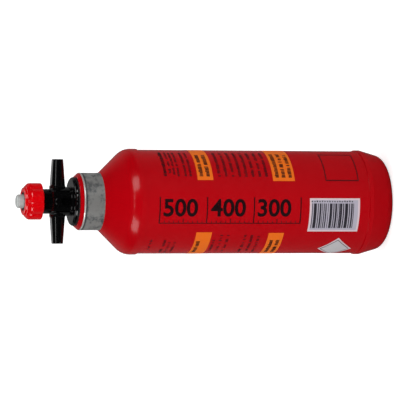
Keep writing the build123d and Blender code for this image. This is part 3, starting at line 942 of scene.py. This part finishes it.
# Each block: name, ink, angle, height, lift, and (rows, pitch, columns, dash height, share missing, seed).
for name, ink, angle, low, lift, block in (
    ("field_print_a", ink_brown, 29.0, 125.0, FIELD_INK_LIFT, (2, 4.4, 18, 2.7, 0.12, 3)),
    ("field_print_b", ink_brown, 28.0, 70.1, FIELD_INK_LIFT, (3, 4.4, 20, 2.7, 0.12, 5)),
    ("field_print_c", ink_brown, -74.0, 129.4, FIELD_INK_LIFT, (1, 4.4, 13, 2.7, 0.15, 8)),
    ("field_print_d", ink_brown, -74.0, 76.4, FIELD_INK_LIFT, (2, 4.2, 14, 2.6, 0.15, 9)),
    ("small_print_head", ink_black, 29.0, 153.4, INK_LIFT, (1, 4.0, 21, 2.3, 0.06, 2)),
    ("small_print_upper", ink_small, 29.0, 145.0, INK_LIFT, (3, 2.65, 21, 1.6, 0.10, 4)),
    ("small_print_middle", ink_small, 29.0, 136.9, INK_LIFT, (2, 3.3, 21, 1.8, 0.10, 6)),
    ("small_print_lower", ink_small, 29.0, 86.2, INK_LIFT, (8, 4.5, 21, 2.0, 0.08, 7)),
    ("side_print_upper", ink_small, -76.0, 145.2, INK_LIFT, (3, 3.4, 15, 1.9, 0.30, 12)),
    ("side_print_top", ink_small, -66.0, 161.2, INK_LIFT, (1, 3.4, 10, 1.7, 0.20, 13)),
    ("side_print_middle", ink_small, -72.0, 110.8, INK_LIFT, (3, 4.4, 17, 1.9, 0.30, 14)),
    ("side_print_lower", ink_small, -74.0, 90.2, INK_LIFT, (3, 4.6, 18, 1.9, 0.30, 15)),
):
    rows, pitch, columns, tall, missing, seed = block
    printed(name, ink, angle, low, lift, Rows=rows, Row_Pitch=pitch, Columns=columns, Mark_Height=tall,
            Missing=missing, Seed=seed, **dash)

# %% A bare outlined square
SQUARE_EDGES = (24.0, 67.0, 25.0, 47.6)
SQUARE_LINE = 0.7
wrapped_slabs("outline_square", ink_small, outline_of(upright(*SQUARE_EDGES), SQUARE_LINE))

# %% [markdown]
# ## A generic fill scale
# The place of the maker's lettering on the front gets something plain that such bottles also carry: a
# scale of the filling in millilitres. Its lines lie about where the cavity holds that much, one
# centimetre of height being about 32 millilitres. The numbers are text made into a mesh, cut into narrow
# strips so that it can bend, and wrapped round the wall.

# %% Lines of the fill scale
MARK_500 = 158.6
TEN_ML = 3.127
SCALE_ARC = -14.3
SPINE_EXTRA = 0.6
scale_foot = MARK_500 - 30 * TEN_ML
scale_angle = math.degrees(SCALE_ARC / BODY_R)
for name, values in (
    ("scale_spine", {"Mark_Width": 0.5, "Mark_Height": 30 * TEN_ML + SPINE_EXTRA, "Cuts": 2}),
    ("scale_tens", {"Rows": 31, "Row_Pitch": TEN_ML, "Mark_Width": 2.0, "Mark_Height": 0.4, "Cuts": 4}),
    ("scale_fifties", {"Rows": 7, "Row_Pitch": 5 * TEN_ML, "Mark_Width": 3.4, "Mark_Height": 0.5, "Cuts": 5}),
    ("scale_hundreds", {"Rows": 4, "Row_Pitch": 10 * TEN_ML, "Mark_Width": 17.4, "Mark_Height": 0.7,
                        "Cuts": 15}),
):
    printed(name, ink_black, scale_angle, scale_foot, **values)

# %% Numbers of the fill scale
NUMBER_TALL = 11.5
NUMBER_ARC = -9.6
NUMBER_DROP = 2.0
NUMBER_STROKE = 0.022
CURVE_STEPS = 6
STRIP = 1.0
SMALLEST_EDGE = 0.09


def wrapped_number(words, top):
    """A number that reads towards the foot, wrapped round the wall below the given height in mm."""
    letters = bpy.data.curves.new("number_" + words, "FONT")
    letters.body = words
    letters.extrude = 0.5
    letters.offset = NUMBER_STROKE
    letters.resolution_u = CURVE_STEPS
    carrier = new_mesh_object("number_carrier", letters)
    bpy.context.view_layer.update()
    mesh = bpy.data.meshes.new_from_object(carrier.evaluated_get(bpy.context.evaluated_depsgraph_get()))
    bpy.data.objects.remove(carrier)
    shape = bmesh.new()
    shape.from_mesh(mesh)
    low = Vector([min(vert.co[axis] for vert in shape.verts) for axis in range(3)])
    high = Vector([max(vert.co[axis] for vert in shape.verts) for axis in range(3)])
    scale = NUMBER_TALL / (high.y - low.y)
    for vert in shape.verts:
        vert.co = Vector(((vert.co.x - low.x) * scale, (vert.co.y - low.y) * scale, vert.co.z - low.z))
    bmesh.ops.remove_doubles(shape, verts=shape.verts, dist=SMALLEST_EDGE)
    for cut in range(1, int(NUMBER_TALL / STRIP)):
        everything = shape.verts[:] + shape.edges[:] + shape.faces[:]
        bmesh.ops.bisect_plane(shape, geom=everything, plane_co=(0, cut * STRIP, 0), plane_no=(0, 1, 0))
    bmesh.ops.recalc_face_normals(shape, faces=shape.faces)
    for vert in shape.verts:
        angle = math.degrees((NUMBER_ARC + vert.co.y) / BODY_R)
        vert.co = on_wall(angle, top - vert.co.x, INK_LIFT + vert.co.z * INK_DEPTH)
    shape.to_mesh(mesh)
    shape.free()
    mesh.materials.clear()
    mesh.materials.append(ink_black)
    piece = new_mesh_object("number_" + words, mesh)
    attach(piece, "bottle")
    print("number", words, len(mesh.polygons), "faces")


for step, words in enumerate(("500", "400", "300")):
    wrapped_number(words, MARK_500 - 10 * step * TEN_ML - NUMBER_DROP)
